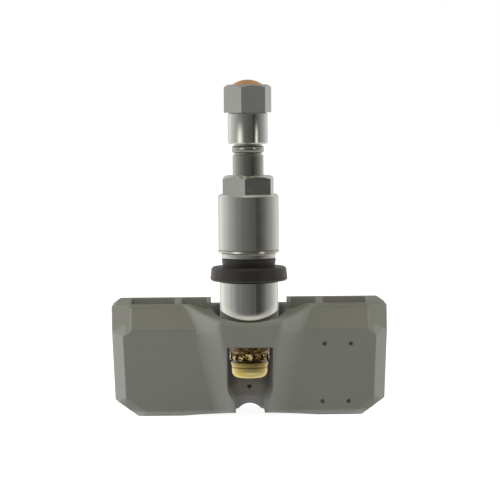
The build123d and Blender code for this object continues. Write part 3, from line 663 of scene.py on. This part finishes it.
def mirrored_room(room):
    """The colour that a mirror sees in each direction."""
    across, along, up = room.axes(room.node("ShaderNodeTexCoord", output="Generated"))
    turn = room.math("ARCTAN2", across, along * -1.0)
    stops = [(wall_turn / 360 + 0.5, level) for wall_turn, level in ROOM_LEVELS]
    walls = room.node("ShaderNodeValToRGB", {"stops": stops}, {0: turn / (2 * math.pi) + 0.5})
    round_walls = room.node("ShaderNodeCombineXYZ", sockets={0: turn * PANEL_SCALE})
    panels = room.noise(round_walls, scale=1.0, detail=2.0)
    walls = room.mix(room.smooth(panels, *PALE_PANELS) * PANEL_SHARE, walls, grey(PALE_PANEL_LEVEL))
    walls = room.mix((1 - room.smooth(panels, *DARK_PANELS)) * PANEL_SHARE, walls, grey(DARK_PANEL_LEVEL))
    for middle, spread, tone in ROOM_TINTS:
        walls = room.mix(towards(room, turn, middle, spread) * ROOM_TINT_SHARE, walls, tone)
    left, right = [towards(room, turn, middle, spread) for middle, spread in SOFTBOXES]
    shown = room.mix(lifted(room, up, ROOM_CEILING_LINE), walls, ROOM_CEILING)
    shown = room.mix((left + right) * lifted(room, up, SOFTBOX_LINE), shown, SOFTBOX_TONE)
    floor = room.mix(ROOM_FLOOR_SHEEN, ROOM_FLOOR, walls)
    return room.mix(1 - lifted(room, up, ROOM_FLOOR_LINE), shown, floor)


def add_world():
    """White to the camera, the room to mirrors, and an even soft light to everything else."""
    world = bpy.data.worlds.new("studio")
    bpy.context.scene.world = world
    room = Graph(world)
    room.tree.nodes.clear()
    seen, mirrored = room.rays()
    shown = room.mix(mirrored, grey(ROOM_LIGHT), mirrored_room(room))
    back = room.node("ShaderNodeBackground", sockets={"Color": room.mix(seen, shown, WHITE)})
    room.node("ShaderNodeOutputWorld", sockets={"Surface": back})


def glowing(ground, tone, strength):
    """A diffuse grey that also gives off white light."""
    matt = ground.node("ShaderNodeBsdfDiffuse", sockets={"Color": grey(tone)})
    glow = ground.node("ShaderNodeEmission", sockets={"Color": WHITE, "Strength": strength})
    return ground.node("ShaderNodeAddShader", sockets={0: matt, 1: glow})


def add_floor():
    """A pale floor that glows white to the camera and keeps the object's shadow; mirrors see the paper."""
    bpy.ops.object.select_all(action="DESELECT")
    bpy.ops.mesh.primitive_plane_add(size=FLOOR_SIZE)
    floor = bpy.context.object
    floor.name = "floor"
    material = bpy.data.materials.new("floor")
    ground = Graph(material)
    ground.tree.nodes.clear()
    place = ground.place()
    pale = glowing(ground, FLOOR_TONE, FLOOR_LIGHT)
    near_glow, far_glow = [glowing(ground, FLOOR_SHADE, glow) for glow in FLOOR_GLOW]
    far = ground.smooth(ground.distance(place, ORIGIN), *FLOOR_GLOW_REACH)
    shown = ground.mix_shaders(far, near_glow, far_glow)
    clear = ground.node("ShaderNodeBsdfTransparent")
    paper = ground.node("ShaderNodeEmission", sockets={"Color": ROOM_FLOOR, "Strength": PAPER_GLOW})
    off = ground.distance(ground.stretched(place, PAPER_SCALE), PAPER_CENTRE)
    reflected = ground.mix_shaders(1 - ground.smooth(off, *PAPER_REACH), clear, paper)
    seen, mirrored = ground.rays()
    surface = ground.mix_shaders(mirrored, ground.mix_shaders(seen, pale, shown), reflected)
    ground.node("ShaderNodeOutputMaterial", sockets={"Surface": surface})
    floor.data.materials.append(material)


def add_neck_thread(material):
    """The valve thread on the neck under the cap: a flat triangle turned up the stem as one ridge."""
    bpy.ops.object.select_all(action="DESELECT")
    # An even triangle is 1.5 radii of its circle high, and the circle's middle is a third of the way up
    radius = (THREAD_PITCH - THREAD_GAP) / math.sqrt(3)
    height = THREAD_SINK + THREAD_DEPTH
    middle = (NECK_RADIUS - THREAD_SINK + height / 3, 0.0, THREAD_LOW + THREAD_PITCH / 2)
    bpy.ops.mesh.primitive_circle_add(vertices=3, radius=radius, location=middle,
                                      rotation=(-math.pi / 2, -math.pi / 2, 0.0))
    thread = bpy.context.object
    thread.name = "neck_thread"
    bpy.ops.object.transform_apply(location=True, rotation=True, scale=True)
    bpy.ops.object.mode_set(mode="EDIT")
    bpy.ops.mesh.select_all(action="SELECT")
    bpy.ops.transform.resize(value=(height / (1.5 * radius), 1.0, 1.0), center_override=middle)
    bpy.ops.object.mode_set(mode="OBJECT")
    screw = thread.modifiers.new("turn", "SCREW")
    screw.steps = screw.render_steps = THREAD_STEPS
    screw.iterations = int((THREAD_HIGH - THREAD_LOW) / THREAD_PITCH - 1.0)
    screw.angle = 2 * math.pi
    screw.screw_offset = THREAD_PITCH
    bpy.ops.object.modifier_apply(modifier="turn")
    bpy.ops.object.mode_set(mode="EDIT")
    bpy.ops.mesh.select_all(action="SELECT")
    bpy.ops.mesh.remove_doubles(threshold=MERGE_DISTANCE)
    bpy.ops.mesh.fill_holes(sides=3)
    bpy.ops.mesh.normals_make_consistent(inside=False)
    bpy.ops.object.mode_set(mode="OBJECT")
    bpy.ops.object.shade_smooth_by_angle(angle=math.radians(SMOOTH_ANGLE))
    thread.data.materials.append(material)
    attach(thread, "stem")


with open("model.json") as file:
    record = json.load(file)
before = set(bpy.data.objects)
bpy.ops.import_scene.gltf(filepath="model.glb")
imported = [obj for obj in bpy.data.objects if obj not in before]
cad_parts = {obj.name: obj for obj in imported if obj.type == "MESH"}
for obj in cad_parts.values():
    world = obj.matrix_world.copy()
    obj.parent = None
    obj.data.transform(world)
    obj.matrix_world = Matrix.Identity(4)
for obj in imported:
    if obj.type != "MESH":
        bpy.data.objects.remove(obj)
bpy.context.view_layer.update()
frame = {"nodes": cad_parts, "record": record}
bpy.context.scene.view_settings.view_transform = "Standard"
materials = finishes()
dress_nodes(frame, materials)
add_neck_thread(materials["stem_alloy"])
add_world()
add_floor()
add_lamps()
add_camera()
